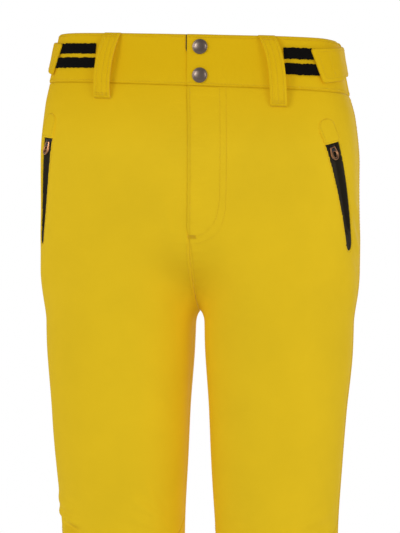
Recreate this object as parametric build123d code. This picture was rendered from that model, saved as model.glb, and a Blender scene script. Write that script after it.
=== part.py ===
from build123d import *
import os

import numpy as np

# Softshell over-trousers with a zip fly, two press studs, belt loops, hook-and-loop waist tabs,
# three zipped pockets, shaped knees and snow gaiters, standing filled out as if worn.
# Millimetres, +Z up. The origin is on the floor midway between the two hems, the front faces -Y
# and the wearer's left side is +X.

# ---- driving dimensions ------------------------------------------------------------------------
WAIST_TOP = 1080.0
BAND_HEIGHT = 55.0
WAIST_SEAM = WAIST_TOP - BAND_HEIGHT
CROTCH = 782.0
HEM_HEIGHT = 25.0
KNEE_SIDE = 553.0
KNEE_DIP = 40.0
KNEE_HALF_SPAN = 70.0
CLOTH = 1.2
SEAM_GAP = 0.4

# Each list holds (height, value) stations, and a smooth curve runs through them.
PELVIS_HALF_WIDTH = [(700, 150), (782, 162), (830, 169), (870, 172.5), (946, 172.5), (1000, 168),
                     (1025, 162.5), (1080, 151.5)]
FRONT_DEPTH = [(700, 94), (782, 100), (860, 104), (950, 105), (1025, 103), (1080, 100)]
BACK_DEPTH = [(700, 112), (782, 124), (870, 142), (950, 133), (1025, 113), (1080, 104)]
LEG_CENTRE_X = [(0, 86), (300, 85.5), (532, 84.5), (669, 87), (750, 88.2), (782, 88), (900, 86)]
LEG_CENTRE_Y = [(0, 4), (300, 7), (450, 0), (600, 2), (700, 6), (782, 9), (900, 10)]
LEG_HALF_WIDTH = [(0, 71), (140, 69), (300, 67), (450, 65), (532, 66.5), (669, 74.8), (750, 80.6),
                  (782, 81.2), (815, 80.5), (870, 70), (950, 50)]
LEG_HALF_DEPTH = [(0, 75), (300, 73), (450, 73), (532, 78), (669, 92), (760, 106), (815, 110),
                  (870, 98), (950, 70)]
WAIST_LEAN = [(790, 0.0), (860, 0.026), (960, 0.033), (1025, 0.041), (1080, 0.026)]
FRONT_SQUARENESS = 4.0
BACK_SQUARENESS = 2.5
LEG_SQUARENESS = 2.35
FORK_CURVE = 210.0
FORK_BLEND = 26.0

# The hips' axis stands this far forward, which puts the origin under the middle of the whole.
HIPS_Y = -15.23

OUT_DIR = "parts"


def smooth_profile(stations):
    """A curve of height through the stations that never overshoots them."""
    height, value = np.array(stations, float).T
    slope = np.diff(value) / np.diff(height)
    tangent = np.concatenate([[slope[0]], np.zeros(len(slope) - 1), [slope[-1]]])
    same_way = slope[:-1] * slope[1:] > 0
    total = np.where(same_way, slope[:-1] + slope[1:], 1.0)
    tangent[1:-1] = np.where(same_way, 2 * slope[:-1] * slope[1:] / total, 0.0)

    def at(z):
        z = np.clip(z, height[0], height[-1])
        i = np.clip(np.searchsorted(height, z) - 1, 0, len(slope) - 1)
        step = height[i + 1] - height[i]
        t = (z - height[i]) / step
        rise = (2 * t**3 - 3 * t**2 + 1) * value[i] + (3 * t**2 - 2 * t**3) * value[i + 1]
        return rise + step * ((t**3 - 2 * t**2 + t) * tangent[i] + (t**3 - t**2) * tangent[i + 1])

    return at


half_width = smooth_profile(PELVIS_HALF_WIDTH)
front_depth = smooth_profile(FRONT_DEPTH)
back_depth = smooth_profile(BACK_DEPTH)
leg_x = smooth_profile(LEG_CENTRE_X)
leg_y = smooth_profile(LEG_CENTRE_Y)
leg_half_width = smooth_profile(LEG_HALF_WIDTH)
leg_half_depth = smooth_profile(LEG_HALF_DEPTH)
lean = smooth_profile(WAIST_LEAN)


# ---- the body surface --------------------------------------------------------------------------
def oval_distance(x, y, wide, deep, squareness):
    """How far a point is outside a squared oval, along the ray from its middle."""
    reach = np.hypot(x, y) + 1e-9
    gauge = (np.abs(x / wide) ** squareness + np.abs(y / deep) ** squareness) ** (1 / squareness)
    return reach * (1 - 1 / np.maximum(gauge, 1e-6))


def soft_min(a, b, width):
    overlap = np.maximum(width - np.abs(a - b), 0) / width
    return np.minimum(a, b) - overlap**2 * width / 4


def outside(x, y, z):
    """Distance outside the trousers' outer surface: a seat and two legs, blended at the fork."""
    front = y < 0
    deep = np.where(front, front_depth(z), back_depth(z))
    square = np.where(front, FRONT_SQUARENESS, BACK_SQUARENESS)
    seat = oval_distance(x, y, half_width(z), deep, square)
    fork = CROTCH + 8 + (y - leg_y(CROTCH)) ** 2 / FORK_CURVE - z
    seat = -soft_min(-seat, -fork, FORK_BLEND)
    wide, deep = leg_half_width(z), leg_half_depth(z)
    leg = oval_distance(np.abs(x) - leg_x(z), y - leg_y(z), wide, deep, LEG_SQUARENESS)
    return soft_min(seat, leg, FORK_BLEND)


def first_crossing(distance, near, far, steps=44):
    """The place between near and far where distance turns positive, by halving."""
    low, high = np.broadcast_arrays(np.asarray(near, float), np.asarray(far, float))
    low, high = low.copy(), high.copy()
    for _ in range(steps):
        middle = (low + high) / 2
        inside = distance(middle) < 0
        low, high = np.where(inside, middle, low), np.where(inside, high, middle)
    return (low + high) / 2


def leaned(x, y, z):
    """The waist sits a little lower on the wearer's left, and the hips stand over the origin."""
    return np.stack([x, y + HIPS_Y, z - lean(z) * x], axis=-1)


def hip_point(angle, z, out=0.0):
    """On the seat or waistband, at an angle in degrees from the front towards the wearer's left."""
    angle, z = np.broadcast_arrays(np.radians(angle), np.asarray(z, float))
    reach = first_crossing(lambda r: outside(r * np.sin(angle), -r * np.cos(angle), z) - out, 20.0, 320.0)
    return leaned(reach * np.sin(angle), -reach * np.cos(angle), z)


def front_point(x, z, out=0.0):
    """On the front, at a distance x to the wearer's left of the middle."""
    x, z = np.broadcast_arrays(np.asarray(x, float), np.asarray(z, float))
    y = -first_crossing(lambda d: outside(x, -d, z) - out, 5.0, 260.0)
    return leaned(x, y, z)


def leg_point(turn, z, out=0.0, side=1):
    """On one leg (side 1 is the wearer's left), turn degrees from its outer side, forwards positive."""
    turn, z = np.broadcast_arrays(np.radians(turn), np.asarray(z, float))
    cx, cy = leg_x(z), leg_y(z)
    inward = np.maximum(-np.cos(turn), 1e-3)
    middle_plane = np.minimum((cx - SEAM_GAP / 2) / inward, 300.0)
    reach = first_crossing(
        lambda r: outside(cx + r * np.cos(turn), cy - r * np.sin(turn), z) - out, 5.0, middle_plane
    )
    return leaned(side * (cx + reach * np.cos(turn)), cy - reach * np.sin(turn), z)


# ---- layers of cloth ---------------------------------------------------------------------------
def vectors(points):
    return [Vector(*map(float, point)) for point in points]


def layer_wire(outer, inner):
    """A thin closed outline: along the outer points and back along the inner ones."""
    outer, inner = vectors(outer), vectors(inner)
    there = Edge.make_spline(outer)
    back = Edge.make_spline(inner[::-1])
    return Wire([there, Edge.make_line(outer[-1], inner[-1]), back, Edge.make_line(inner[0], outer[0])])


def layer(point, heights, edges, low, high, columns=9):
    """A layer between the offsets low and high, from edges(z)[0] to edges(z)[1] at each height."""
    sections = []
    for z in heights:
        start, end = edges(z)
        across = np.linspace(start, end, columns)
        under = low(z) if callable(low) else low
        over = high(z) if callable(high) else high
        sections.append(layer_wire(point(across, z, over), point(across, z, under)))
    return Solid.make_loft(sections, ruled=True)


def between(start, end):
    return lambda z: (start, end)


def ring(side, bottom, top, low, high, rows=2):
    """A closed band round one leg, its offsets running from low[0], high[0] up to low[1], high[1]."""
    turns = np.linspace(0, 360, 25)[:-1]
    share = np.linspace(0, 1, rows)
    bodies = []
    for offset in (high, low):
        wires = []
        for s in share:
            out = offset[0] + (offset[1] - offset[0]) * s
            points = leg_point(turns, bottom + (top - bottom) * s, out, side)
            wires.append(Wire([Edge.make_spline(vectors(points), periodic=True)]))
        bodies.append(Solid.make_loft(wires, ruled=True))
    return bodies[0] - bodies[1]


def save(name, *shapes):
    solids = [solid for shape in shapes for solid in shape.solids()]
    export_step(solids[0] if len(solids) == 1 else Compound(children=solids), f"{OUT_DIR}/{name}.step")


# ---- leg panels --------------------------------------------------------------------------------
FORK_STEPS = [0, 3, 8, 14, 22, 32, 44, 58]
BELOW_FORK = [HEM_HEIGHT + SEAM_GAP, 120, 220, 330, 430, 480, 520, 560, 610, 660, 700, 735, 758, 772]
ABOVE_FORK = [870, 905, 940, 975, 1002, WAIST_SEAM - SEAM_GAP]
PANEL_HEIGHTS = BELOW_FORK + [CROTCH + step for step in FORK_STEPS] + ABOVE_FORK


def inner_turn(z, way, out):
    """The turn at which a leg panel ends: at the inseam, or at the middle seam above the fork."""
    middle, cx, cy = SEAM_GAP / 2, leg_x(z), leg_y(z)
    shut = 180.0 - np.degrees(middle / leg_half_width(z))
    if outside(middle, cy, z) - out >= 0:
        return shut
    depth = first_crossing(lambda d: outside(middle, cy - way * d, z) - out, 0.0, 260.0)
    return min(shut, np.degrees(np.arctan2(depth, middle - cx)))


def leg_panel(way, side):
    """The front (way 1) or back (way -1) of one leg, from the hem up to the waist seam."""
    sections = []
    for z in PANEL_HEIGHTS:
        start = np.degrees(SEAM_GAP / 2 / leg_half_width(z))
        outlines = []
        for out in (0.0, -CLOTH):
            turns = way * np.linspace(start, inner_turn(z, way, out), 13)
            outlines.append(leg_point(turns, z, out, side))
        sections.append(layer_wire(*outlines))
    return Solid.make_loft(sections, ruled=True)


def below_knee(side, lift=0.0):
    """Everything under the knee seam, which dips in the middle of one leg's front."""
    middle, edge, floor = float(side * leg_x(KNEE_SIDE)), KNEE_SIDE + lift, -50
    inner, outer = middle - KNEE_HALF_SPAN, middle + KNEE_HALF_SPAN
    beyond = 30
    with BuildSketch(Plane.XZ) as region:
        with BuildLine():
            Spline((inner, edge), (middle, edge - KNEE_DIP), (outer, edge))
            Polyline((outer, edge), (outer + beyond, edge), (outer + beyond, floor), (middle, floor))
            Polyline((middle, floor), (inner - beyond, floor), (inner - beyond, edge), (inner, edge))
        make_face()
    return extrude(region.sketch, amount=400, both=True)


# ---- fly ---------------------------------------------------------------------------------------
FLY_BOTTOM = 858.0
FOLD_TOP_X = 44.0
FLAP_EDGE_X = -2.0
FLAP_OUT = 0.4
FLAP_CLOTH = 1.4
BAND_THICK = 2.6
UNDERLAP_OUT = -5.6
CAP_HEIGHTS = (1036.0, 1066.5)
CAP_X = 12.3
CAP_RADIUS = 8.2
CAP_RISE = 2.6
CAP_DOME = 19.0
BASE = (Align.CENTER, Align.CENTER, Align.MIN)


def fold_x(z):
    """The line that the fly flap folds back along, from the fly's bottom to the waist's top."""
    return FOLD_TOP_X * (z - FLY_BOTTOM) / (WAIST_TOP - FLY_BOTTOM)


def fly_corner():
    """The triangle of the wearer's left front that the flap takes the place of."""
    top = WAIST_TOP + 60
    with BuildSketch(Plane.XZ) as corner:
        with BuildLine():
            Polyline((-30, FLY_BOTTOM), (0, FLY_BOTTOM), (fold_x(top), top), (-30, top), close=True)
        make_face()
    return extrude(corner.sketch, amount=200)


def frame_at(origin, along, outward):
    """A plane with X along a direction and Z as near outward as it can be."""
    along = Vector(*map(float, along)).normalized()
    outward = Vector(*map(float, outward))
    square = outward - along * outward.dot(along)
    return Plane(origin=Vector(*map(float, origin)), x_dir=along, z_dir=square.normalized())


def snap_plane(height, out):
    """Z points out of the waistband at a press stud's centre."""
    centre = front_point(CAP_X, height, out)
    up = front_point(CAP_X, height + 8, out) - front_point(CAP_X, height - 8, out)
    return frame_at(centre, up, (0, -1, 0))


def snap_cap(height):
    dome = Pos(0, 0, CAP_RISE - CAP_DOME) * Sphere(CAP_DOME)
    cap = Cylinder(CAP_RADIUS, CAP_RISE, align=BASE) & dome
    return snap_plane(height, FLAP_OUT + BAND_THICK + 0.25).location * cap


def snap_socket(height):
    blank = Cylinder(6.0, 1.6) - Cylinder(3.6, 4)
    return snap_plane(height, FLAP_OUT - 1.1).location * blank


def snap_stud(height):
    stud = Cylinder(5.5, 0.8, align=BASE) + Cylinder(2.7, 2.7, align=BASE)
    return snap_plane(height, UNDERLAP_OUT + BAND_THICK + 0.2).location * stud


# ---- zips --------------------------------------------------------------------------------------
class Zip:
    """A straight zip under the cloth: X runs down it from its top, Z points out of the trousers."""

    def __init__(self, top, bottom, outward, width_top, width_bottom, head=14.0):
        self.length = float(np.linalg.norm(np.subtract(bottom, top)))
        self.plane = frame_at(top, np.subtract(bottom, top), outward)
        self.width_top, self.width_bottom, self.head = width_top, width_bottom, head

    def place(self, shape):
        return self.plane.location * shape

    def block(self, x, y, z):
        size = (x[1] - x[0], y[1] - y[0], z[1] - z[0])
        middle = ((x[0] + x[1]) / 2, (y[0] + y[1]) / 2, (z[0] + z[1]) / 2)
        return Pos(*middle) * Box(*size)

    def opening(self, grow=0.0):
        """The rounded, tapering window in the cloth, as a cutter."""
        top, bottom = self.width_top / 2 + grow, self.width_bottom / 2 + grow
        start, end = -self.head, self.length
        with BuildSketch(Plane.XY) as window:
            with BuildLine():
                Line((start, -top), (end, -bottom))
                RadiusArc((end, -bottom), (end, bottom), -bottom)
                Line((end, bottom), (start, top))
                Line((start, top), (start, -top))
            make_face()
        return self.place(Pos(0, 0, -14) * extrude(window.sketch, amount=40))

    def tapes(self, half_width):
        along, thick = (-self.head, self.length + 5), (-0.7, 0)
        both = [(0.6, half_width), (-half_width, -0.6)]
        return [self.place(self.block(along, across, thick)) for across in both]

    def coils(self):
        along, thick = (-self.head, self.length), (-2.3, -0.9)
        return [self.place(self.block(along, across, thick)) for across in ((0.6, 2.4), (-2.4, -0.6))]

    def stops(self):
        """The end stop that holds the two tapes together at the bottom."""
        return self.place(self.block((self.length + 1, self.length + 4), (-2.6, 2.6), (0.1, 0.9)))

    def slider(self, at, pinned=True):
        """Two plates joined by a web, with two cheeks that hold the puller's pin."""
        x = (at - 11, at + 2.5)
        parts = self.block(x, (-4.4, 4.4), (0.4, 1.6))
        parts += self.block((x[0] + 1, x[1] - 1), (-4.2, 4.2), (-3.9, -2.7))
        parts += self.block((x[0] + 1, x[0] + 4), (-0.3, 0.3), (-3.0, 0.6))
        if pinned:
            cheek = self.block((at - 1.6, at + 1.6), (2.5, 3.7), (1.5, 5.2))
            parts += cheek + mirror(cheek, Plane.XZ)
            parts += Pos(at, 0, 3.9) * Rot(90, 0, 0) * Cylinder(0.8, 6.4)
        return self.place(parts)

    def puller(self, at, tilt, width, length=20.5):
        """A keyhole tab on an eye that turns on the slider's pin."""
        eye = Rot(90, 0, 0) * (Cylinder(1.9, 4.2) - Cylinder(1.15, 8))
        neck = self.block((1.6, 5.5), (-2.0, 2.0), (-0.7, 0.7))
        tab_end = length - width / 2
        with BuildSketch(Plane.XY) as outline:
            with BuildLine():
                Line((4.5, -width * 0.3), (tab_end, -width / 2))
                RadiusArc((tab_end, -width / 2), (tab_end, width / 2), -width / 2)
                Line((tab_end, width / 2), (4.5, width * 0.3))
                Line((4.5, width * 0.3), (4.5, -width * 0.3))
            make_face()
            with Locations((tab_end, 0)):
                Circle(width * 0.32, mode=Mode.SUBTRACT)
        tab = Pos(0, 0, -0.9) * extrude(outline.sketch, amount=1.8)
        shape = eye + neck + tab
        return self.place(Pos(at, 0, 3.9) * Rot(0, -tilt, 0) * shape)

    def garage(self, lower_edge, cover, half_width, gap):
        """A hood over the top of the zip, round above and open below."""
        reach = self.head + 12.0
        with BuildSketch(Plane.XY) as outline:
            with BuildLine():
                Line((lower_edge, -half_width), (half_width - reach, -half_width))
                RadiusArc((half_width - reach, -half_width), (half_width - reach, half_width), half_width)
                Line((half_width - reach, half_width), (lower_edge, half_width))
                Line((lower_edge, half_width), (lower_edge, -half_width))
            make_face()
        body = self.place(extrude(outline.sketch, amount=30)) & cover
        space = self.block((-self.head + 1, 40), (-self.width_top / 2, self.width_top / 2), (-5, gap))
        return body - self.place(space)


def hip_zip(angle_top, z_top, angle_tip, z_tip, sink, widths):
    """A zip on the hip between two places, its tapes sunk below the cloth."""
    top, tip = hip_point(angle_top, z_top), hip_point(angle_tip, z_tip)
    middle_angle, middle_z = (angle_top + angle_tip) / 2, (z_top + z_tip) / 2
    span = hip_point(middle_angle + 4, middle_z) - hip_point(middle_angle - 4, middle_z)
    outward = np.cross(np.subtract(tip, top), span)
    if outward[0] * np.sign(angle_top) < 0:
        outward = -outward
    outward = outward / np.linalg.norm(outward)
    return Zip(top - sink * outward, tip - sink * outward, outward, *widths)


PIN_PLACE = 3.4
POCKET_SINK = 4.8
POCKET_TRAVEL = 84.0
HAND_POCKET_ANGLES = {1: (61.5, 72.0), -1: (-64.0, -69.0)}
HAND_POCKET_HEIGHTS = {1: (969, 856), -1: (966, 857)}
HAND_TAPE = 8.6
HAND_PULLER = 12.4
HOOD_ABOVE = 0.15
HOOD_THICK = 3.15
PULLER_TILT = 12.0


def hand_pocket(side):
    top, tip = HAND_POCKET_ANGLES[side]
    high, low = HAND_POCKET_HEIGHTS[side]
    return hip_zip(top, high, tip, low, POCKET_SINK, (18, 12))


REAR_TRAVEL = 62.0
REAR_TAPE = 8.6
REAR_PULLER = 10.0
FLY_TRAVEL = 118.0
FLY_PIN_PLACE = 9.4


def rear_pocket():
    return hip_zip(96.8, 1008, 104, 915, POCKET_SINK, (11, 11))


def fly_zip():
    """The fly's zip, flat behind the flap."""
    return Zip(front_point(12, 1010, -5.5), front_point(12, 870, -5.5), (0, -1, 0), 18, 18, head=8.0)


def save_zip(name, slot, tape_half_width, puller_width):
    save(f"{name}_zip_tapes", *slot.tapes(tape_half_width))
    save(f"{name}_zip_coils", *slot.coils())
    save(f"{name}_zip_stop", slot.stops())
    save(f"{name}_zip_slider", slot.slider(PIN_PLACE))
    save(f"{name}_zip_puller", slot.puller(PIN_PLACE, PULLER_TILT, puller_width))


def pouch(angle_range, z_range, deep, cutter):
    """A flat bag hung inside the cloth behind a zip, open towards it."""
    z = np.linspace(*z_range, 4)
    bag = layer(hip_point, z, between(*angle_range), deep[0], deep[1])
    inset = 1.0 if angle_range[1] > angle_range[0] else -1.0
    hollow_z = np.linspace(z_range[0] + 1.2, z_range[1] - 1.2, 4)
    hollow = layer(hip_point, hollow_z, between(angle_range[0] + inset, angle_range[1] - inset),
                   deep[0] + 1.0, deep[1] - 1.0)
    return bag - hollow - cutter


# ---- waist -------------------------------------------------------------------------------------
SIDE_ANGLE = 92.6
BAND_HEIGHTS = [WAIST_SEAM, 1040, 1060, WAIST_TOP]
LOOP_WIDTH = 18.0
LOOP_GAP = 9.0
LOOP_THICK = 2.0
TAPE_THICK = 1.0
TAB_OUT = 2.4
TAB_THICK = 1.8
TAB_SEWN = 112.0
TAB_FREE = {1: 57.5, -1: 61.0}
TAB_RAKE = 3.5
LOOP_ROWS = {"upper": (1056.5, 1068.0), "lower": (1040.5, 1052.0)}
LOOP_TAPE_ANGLES = (46.5, 70.0)
TAB_HEIGHTS = (1034, 1046, 1057, 1068)
HOOK_HEIGHTS = (1037, 1051, 1065)
ANCHOR_HEIGHTS = (1033, 1051, 1069)


def belt_loop(angle_low, angle_high):
    """A strap sewn at both ends that arches clear of the waistband."""
    low_z, high_z = 1006.0, 1081.0
    heights = np.linspace(low_z, high_z, 11)

    def arch(z):
        across = np.clip((z - low_z) / (high_z - low_z), 0, 1)
        return 0.3 + LOOP_GAP * np.sin(np.pi * across) ** 0.5

    def edges(z):
        middle = angle_low + (angle_high - angle_low) * (z - low_z) / (high_z - low_z)
        one_degree = hip_point(middle + 0.5, z, arch(z)) - hip_point(middle - 0.5, z, arch(z))
        half = LOOP_WIDTH / 2 / np.linalg.norm(one_degree)
        return middle - half, middle + half

    return layer(hip_point, heights, edges, arch, lambda z: arch(z) + LOOP_THICK, columns=4)


def tab_edges(side):
    def edges(z):
        rake = TAB_RAKE * (1068 - z) / 34
        return side * (TAB_FREE[side] + rake), side * TAB_SEWN
    return edges


def leg_pieces(name, side):
    """The three panels of one leg, its hem, and the snow gaiter inside it."""
    pocket = hand_pocket(side)
    front, back = leg_panel(1, side), leg_panel(-1, side)
    thigh = front - below_knee(side, SEAM_GAP) - pocket.opening()
    if side > 0:
        thigh -= fly_corner()
        back -= rear_pocket().opening()
    save(f"{name}_thigh_front", thigh)
    save(f"{name}_lower_front", front & below_knee(side))
    save(f"{name}_leg_back", back)
    save(f"{name}_hem", ring(side, 0, HEM_HEIGHT, (-2.6, -2.6), (0, 0)))
    save(f"{name}_snow_gaiter", ring(side, 34, 165, (-9.0, -4.4), (-8.0, -3.4), rows=4))
    save(f"{name}_gaiter_elastic", ring(side, 16, 33.6, (-10.2, -10.2), (-8.0, -8.0)))


def pocket_pieces(name, side):
    """A hand pocket: its zip, the hood over the zip's top and the bag behind it."""
    pocket = hand_pocket(side)
    save_zip(f"{name}_hand", pocket, HAND_TAPE, HAND_PULLER)
    cover = layer(hip_point, [958, 973, 988, 1008], between(side * 52, side * 76), HOOD_ABOVE,
                  HOOD_ABOVE + HOOD_THICK)
    save(f"{name}_hand_zip_garage", pocket.garage(0.0, cover, 10.5, 7.0))
    bag = pouch((side * 48, side * 86), (806, 991), (-18.0, -9.5), pocket.opening(-1.0))
    save(f"{name}_pocket_bag", bag)


def front_band_edges(side):
    """The wearer's left band starts at the flap's fold, and the right one at the middle."""
    def edges(z):
        start = np.degrees(np.arctan2(fold_x(z) + SEAM_GAP, front_depth(z))) if side > 0 else -0.1
        return start, side * (SIDE_ANGLE - 0.1)
    return edges


def waist_pieces(name, side):
    """One side's waistband, belt loops, and its tab with the hook-and-loop that holds it."""
    save(f"{name}_waistband", layer(hip_point, BAND_HEIGHTS, front_band_edges(side), -BAND_THICK, 0.0, 17))
    save(f"{name}_belt_loop", belt_loop(side * 43.5, side * 40.5))
    save(f"{name}_rear_belt_loop", belt_loop(side * 147, side * 147))
    start, end = LOOP_TAPE_ANGLES
    strips = [layer(hip_point, rows, between(side * start, side * end), 0.15, 0.15 + TAPE_THICK)
              for rows in LOOP_ROWS.values()]
    save(f"{name}_loop_tape", *strips)
    edges = tab_edges(side)
    save(f"{name}_waist_tab", layer(hip_point, TAB_HEIGHTS, edges, TAB_OUT, TAB_OUT + TAB_THICK, 13))
    hook_edges = lambda z: (edges(z)[0] + side * 1.2, edges(z)[0] + side * 9)
    save(f"{name}_tab_hook", layer(hip_point, HOOK_HEIGHTS, hook_edges, 1.4, TAB_OUT - 0.1))
    patch_edges = between(side * (TAB_SEWN + 0.4), side * (TAB_SEWN + 12))
    save(f"{name}_tab_anchor", layer(hip_point, ANCHOR_HEIGHTS, patch_edges, 0.1, TAB_OUT + TAB_THICK))


def rear_pieces():
    """The back of the waistband, its middle loop, and the one rear pocket."""
    edges = between(SIDE_ANGLE + 0.1, 360 - SIDE_ANGLE - 0.1)
    save("rear_waistband", layer(hip_point, BAND_HEIGHTS, edges, -BAND_THICK, 0.0, 25))
    save("centre_belt_loop", belt_loop(180, 180))
    pocket = rear_pocket()
    save_zip("rear", pocket, REAR_TAPE, REAR_PULLER)
    save("rear_pocket_bag", pouch((93.5, 135), (880, 1015), (-18.0, -9.0), pocket.opening(-1.0)))


def fly_pieces():
    """The flap over the fly, its press studs, and the underlap, shield and zip behind it."""
    flap_z = [FLY_BOTTOM + 14, 905, 950, 990, WAIST_SEAM - SEAM_GAP]
    to_fold = lambda z: (FLAP_EDGE_X, fold_x(z) - SEAM_GAP)
    save("fly_flap", layer(front_point, flap_z, to_fold, FLAP_OUT, FLAP_OUT + FLAP_CLOTH, 5))
    save("fly_flap_band", layer(front_point, BAND_HEIGHTS, to_fold, FLAP_OUT, FLAP_OUT + BAND_THICK, 5))
    save("snap_caps", *[snap_cap(z) for z in CAP_HEIGHTS])
    save("snap_sockets", *[snap_socket(z) for z in CAP_HEIGHTS])
    save("snap_studs", *[snap_stud(z) for z in CAP_HEIGHTS])
    under = between(-8, 34)
    underlap = layer(front_point, BAND_HEIGHTS, under, UNDERLAP_OUT, UNDERLAP_OUT + BAND_THICK, 5)
    save("waistband_underlap", underlap)
    save("fly_shield", layer(front_point, [866, 920, 970, 1020], under, -13.0, -11.8, 5))
    fly = fly_zip()
    save("fly_zip_tapes", *fly.tapes(11))
    save("fly_zip_coils", *fly.coils())
    save("fly_zip_slider", fly.slider(FLY_PIN_PLACE, pinned=False))


if __name__ == "__main__":
    os.makedirs(OUT_DIR, exist_ok=True)
    for leg, leg_side in (("left", 1), ("right", -1)):
        leg_pieces(leg, leg_side)
        pocket_pieces(leg, leg_side)
        waist_pieces(leg, leg_side)
    rear_pieces()
    fly_pieces()
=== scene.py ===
import math

import bpy
import numpy as np
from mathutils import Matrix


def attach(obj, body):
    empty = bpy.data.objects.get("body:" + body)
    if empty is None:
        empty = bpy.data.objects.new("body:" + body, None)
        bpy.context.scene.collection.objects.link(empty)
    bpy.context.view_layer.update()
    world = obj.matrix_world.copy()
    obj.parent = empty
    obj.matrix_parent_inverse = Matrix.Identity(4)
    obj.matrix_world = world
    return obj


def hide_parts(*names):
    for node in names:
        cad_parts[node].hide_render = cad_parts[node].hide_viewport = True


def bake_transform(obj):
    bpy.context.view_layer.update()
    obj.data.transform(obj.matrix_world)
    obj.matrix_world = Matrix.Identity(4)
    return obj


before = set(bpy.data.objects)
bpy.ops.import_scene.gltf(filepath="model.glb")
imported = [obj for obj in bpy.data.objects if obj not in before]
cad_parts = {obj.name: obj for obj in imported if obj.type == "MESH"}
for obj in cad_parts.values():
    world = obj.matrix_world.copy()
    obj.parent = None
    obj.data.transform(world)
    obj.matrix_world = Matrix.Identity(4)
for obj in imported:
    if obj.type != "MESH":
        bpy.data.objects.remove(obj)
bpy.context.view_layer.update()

# ---- Leg panels --------------------------------------------------------------------------------
# Six panels of stretch-woven softshell make the seat and legs: a thigh front, a lower front below
# the shaped knee seam and one long back on each leg. They are cut from one mustard cloth with a
# dark brushed inside, and flat-seamed at the side, inseam, rise and knee.
MM = 0.001
WAIST_TOP, WAIST_SEAM, FORK, HEM_TOP = 1080.0, 1025.0, 782.0, 25.0
KNEE_SIDE, KNEE_DIP = 553.0, 40.0
FLY_BOTTOM, FOLD_TOP_X, FLAP_EDGE_X = 858.0, 44.0, -2.0
HIPS_Y = -15.23
CLOTH = 1.0
SIDE_ANGLE = 92.6


def profile(*stations):
    """A value against height: cubics between stations, whose harmonic mean slopes never overshoot."""
    height, value = np.array(stations, float).T
    slope = np.diff(value) / np.diff(height)
    tangent = np.concatenate([[slope[0]], np.zeros(len(slope) - 1), [slope[-1]]])
    same_way = slope[:-1] * slope[1:] > 0
    total = np.where(same_way, slope[:-1] + slope[1:], 1.0)
    tangent[1:-1] = np.where(same_way, 2 * slope[:-1] * slope[1:] / total, 0.0)

    def at(z):
        z = np.clip(z, height[0], height[-1])
        i = np.clip(np.searchsorted(height, z) - 1, 0, len(slope) - 1)
        step = height[i + 1] - height[i]
        t = (z - height[i]) / step
        rise = (2 * t**3 - 3 * t**2 + 1) * value[i] + (3 * t**2 - 2 * t**3) * value[i + 1]
        return rise + step * ((t**3 - 2 * t**2 + t) * tangent[i] + (t**3 - t**2) * tangent[i + 1])

    return at


half_width = profile((700, 150), (782, 162), (830, 169), (870, 172.5), (946, 172.5), (1000, 168),
                     (1025, 162.5), (1080, 151.5))
front_depth = profile((700, 94), (782, 100), (860, 104), (950, 105), (1025, 103), (1080, 100))
back_depth = profile((700, 112), (782, 124), (870, 142), (950, 133), (1025, 113), (1080, 104))
leg_x = profile((0, 86), (300, 85.5), (532, 84.5), (669, 87), (750, 88.2), (782, 88), (900, 86))
leg_y = profile((0, 4), (300, 7), (450, 0), (600, 2), (700, 6), (782, 9), (900, 10))
leg_half_width = profile((0, 71), (140, 69), (300, 67), (450, 65), (532, 66.5), (669, 74.8), (750, 80.6),
                         (782, 81.2), (815, 80.5), (870, 70), (950, 50))
leg_half_depth = profile((0, 75), (300, 73), (450, 73), (532, 78), (669, 92), (760, 106), (815, 110),
                         (870, 98), (950, 70))
lean = profile((790, 0.0), (860, 0.026), (960, 0.033), (1025, 0.041), (1080, 0.026))
sway = profile((0, 0.0), (480, -0.6), (600, -1.8), (740, -2.4), (830, -0.6), (900, 0.6), (960, 0.9),
               (1030, 0.0))
SEAT_FRONT_POWER, SEAT_BACK_POWER, LEG_POWER = 4.0, 2.5, 2.35
FORK_CURVE, JOIN_WIDTH = 210.0, 26.0


def oval(x, y, wide, deep, power):
    """How far (x, y) is outside the oval |x/wide|^power + |y/deep|^power = 1, along the ray to it."""
    gauge = (np.abs(x / wide) ** power + np.abs(y / deep) ** power) ** (1 / power)
    return (np.hypot(x, y) + 1e-9) * (1 - 1 / np.maximum(gauge, 1e-6))


def soft_min(a, b, width):
    """The lesser of a and b, rounded by a parabola where they are within width of each other."""
    return np.minimum(a, b) - (np.maximum(width - np.abs(a - b), 0) / width) ** 2 * width / 4


def outside(x, y, z):
    """Distance outside the filled-out cloth: a seat oval cut by the fork's parabola, and two leg ovals."""
    front = y < 0
    deep = np.where(front, front_depth(z), back_depth(z))
    seat = oval(x, y, half_width(z), deep, np.where(front, SEAT_FRONT_POWER, SEAT_BACK_POWER))
    fork = FORK + 8 + (y - leg_y(FORK)) ** 2 / FORK_CURVE - z
    seat = -soft_min(-seat, -fork, JOIN_WIDTH)
    leg = oval(np.abs(x) - leg_x(z), y - leg_y(z), leg_half_width(z), leg_half_depth(z), LEG_POWER)
    return soft_min(seat, leg, JOIN_WIDTH)


def crossing(distance, near, far):
    """Where distance turns positive between near and far, by halving 32 times."""
    low, high = np.broadcast_arrays(np.asarray(near, float), np.asarray(far, float))
    low, high = low.copy(), high.copy()
    for _ in range(32):
        middle = (low + high) / 2
        inside = distance(middle) < 0
        low, high = np.where(inside, middle, low), np.where(inside, high, middle)
    return (low + high) / 2


def ridge(p, a, b, width, height):
    """A fold along the segment a to b: a bell across it, a half sine along it."""
    a, b = np.array(a, float), np.array(b, float)
    run = b - a
    t = np.clip(((p - a) @ run) / (run @ run), 0, 1)
    across = np.linalg.norm(p - a - t[..., None] * run, axis=-1)
    return height * np.sin(np.pi * np.clip(t, 0, 1)) ** 0.8 * np.exp(-((across / width) ** 2))


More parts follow.
